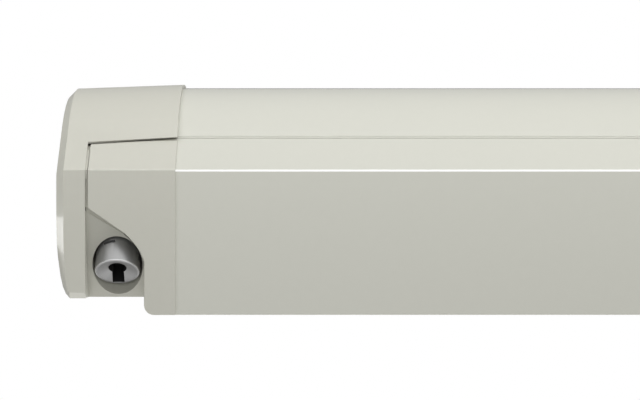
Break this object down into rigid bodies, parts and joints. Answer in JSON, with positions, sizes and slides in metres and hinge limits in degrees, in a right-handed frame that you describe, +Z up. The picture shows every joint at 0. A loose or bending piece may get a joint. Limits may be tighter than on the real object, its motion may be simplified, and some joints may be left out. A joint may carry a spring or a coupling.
{
  "type": "roll out awning",
  "caption": "Closed cassette awning with a curved hood, lead rail, moulded end caps, crank eye, folding arms and support legs.",
  "frame": {"origin": "middle of the cassette's flat back face, which lies against the wall", "axes": "+X along the awning to its right end, seen from the front; +Y into the wall; +Z up"},
  "size_m": [1.9, 0.0908, 0.1191],
  "materials": {
    "profile": "smooth cream paint on an extruded profile",
    "cap": "cream moulded plastic with a fine grain",
    "seal": "matt black rubber strip",
    "canvas": "coated grey canvas with a fine weave",
    "eye": "satin die-cast",
    "grey_plastic": "grey moulded plastic",
    "steel": "zinc plated",
    "arm_profile": "smooth cream paint",
    "alloy": "satin alloy"
  },
  "bodies": {
    "cassette": {"cassette": "profile", "hood_seal": "seal", "wall_seal": "seal", "left_end_cap": "cap", "right_end_cap": "cap", "cap_screws": "steel", "gearbox": "grey_plastic", "idler_bearing": "grey_plastic", "left_shoulder_bracket": "alloy", "right_shoulder_bracket": "alloy", "bracket_bolts": "steel", "shoulder_pins": "steel"},
    "crank": {"crank_eye": "eye", "worm": "steel"},
    "roller": {"worm_wheel": "steel", "roller_tube": "alloy", "drive_plug": "grey_plastic", "idler_plug": "grey_plastic", "canvas_roll": "canvas"},
    "left_upper_arm": {"left_upper_shoulder": "alloy", "left_upper_tube": "arm_profile", "left_upper_elbow": "alloy", "left_elbow_pin": "steel"},
    "left_forearm": {"left_fore_elbow": "alloy", "left_fore_tube": "arm_profile", "left_fore_wrist": "alloy"},
    "right_upper_arm": {"right_upper_shoulder": "alloy", "right_upper_tube": "arm_profile", "right_upper_elbow": "alloy", "right_elbow_pin": "steel"},
    "right_forearm": {"right_fore_elbow": "alloy", "right_fore_tube": "arm_profile", "right_fore_wrist": "alloy"},
    "lead_rail": {"lead_rail": "profile", "canvas_bead": "canvas", "left_rail_cap": "cap", "right_rail_cap": "cap", "left_wrist_bracket": "alloy", "right_wrist_bracket": "alloy", "wrist_pins": "steel", "left_leg_bracket": "alloy", "right_leg_bracket": "alloy", "leg_pins": "steel"},
    "canvas": {"canvas_strip": "canvas"},
    "left_leg": {"left_leg_hinge": "grey_plastic", "left_leg_tube": "alloy", "left_leg_collar": "grey_plastic"},
    "right_leg": {"right_leg_hinge": "grey_plastic", "right_leg_tube": "alloy", "right_leg_collar": "grey_plastic"},
    "left_leg_inner": {"left_leg_inner": "alloy", "left_leg_foot": "grey_plastic"},
    "right_leg_inner": {"right_leg_inner": "alloy", "right_leg_foot": "grey_plastic"}
  },
  "joints": [
    {"name": "awning_fold", "type": "hinge", "parent": "cassette", "child": "left_upper_arm", "pos_m": [-0.85, -0.025, -0.032], "axis": [0, 0.1736, -0.9848], "range_deg": [0, 55]},
    {"name": "left_elbow", "type": "hinge", "parent": "left_upper_arm", "child": "left_forearm", "pos_m": [-0.05009, -0.03682, -0.03408], "axis": [0, 0.1736, -0.9848], "range_deg": [-114, 3]},
    {"name": "left_wrist", "type": "hinge", "parent": "left_forearm", "child": "lead_rail", "pos_m": [-0.85, -0.04864, -0.03617], "axis": [0, 0.1736, -0.9848], "range_deg": [-3, 58]},
    {"name": "right_shoulder", "type": "hinge", "parent": "cassette", "child": "right_upper_arm", "pos_m": [0.85, -0.025, -0.032], "axis": [0, 0.1736, -0.9848], "range_deg": [-58, 3]},
    {"name": "right_elbow", "type": "hinge", "parent": "right_upper_arm", "child": "right_forearm", "pos_m": [0.05009, -0.03682, -0.03408], "axis": [0, 0.1736, -0.9848], "range_deg": [-3, 114]},
    {"name": "canvas_payout", "type": "slide", "parent": "lead_rail", "child": "canvas", "axis": [0, 0.9848, 0.1736], "range_m": [-0.02, 1.36], "deforming": ["canvas_strip"]},
    {"name": "roller_spin", "type": "hinge", "parent": "cassette", "child": "roller", "pos_m": [0, -0.034, 0.0095], "axis": [1, 0, 0], "range_deg": [-50, 3458]},
    {"name": "crank_turn", "type": "hinge", "parent": "cassette", "child": "crank", "pos_m": [-0.92, -0.078, -0.034], "axis": [0, -0.5592, -0.829], "range_deg": [-350, 24202]},
    {"name": "left_leg_fold", "type": "hinge", "parent": "lead_rail", "child": "left_leg", "pos_m": [-0.864, -0.0758, -0.046], "axis": [0, 1, 0], "range_deg": [0, 90]},
    {"name": "left_leg_extend", "type": "slide", "parent": "left_leg", "child": "left_leg_inner", "axis": [1, 0, 0], "range_m": [0, 0.6]},
    {"name": "right_leg_fold", "type": "hinge", "parent": "lead_rail", "child": "right_leg", "pos_m": [0.864, -0.0758, -0.0235], "axis": [0, -1, 0], "range_deg": [0, 90]},
    {"name": "right_leg_extend", "type": "slide", "parent": "right_leg", "child": "right_leg_inner", "axis": [-1, 0, 0], "range_m": [0, 0.6]}
  ],
  "couplings": [
    {"joint": "left_elbow", "follows": "awning_fold", "ratio": -2},
    {"joint": "left_wrist", "follows": "awning_fold", "ratio": 1},
    {"joint": "right_shoulder", "follows": "awning_fold", "ratio": -1},
    {"joint": "right_elbow", "follows": "awning_fold", "ratio": 2},
    {"joint": "canvas_payout", "follows": "awning_fold", "m_per_rad": 1.3545},
    {"joint": "roller_spin", "follows": "awning_fold", "ratio": 59.61},
    {"joint": "crank_turn", "follows": "awning_fold", "ratio": 417.27}
  ]
}
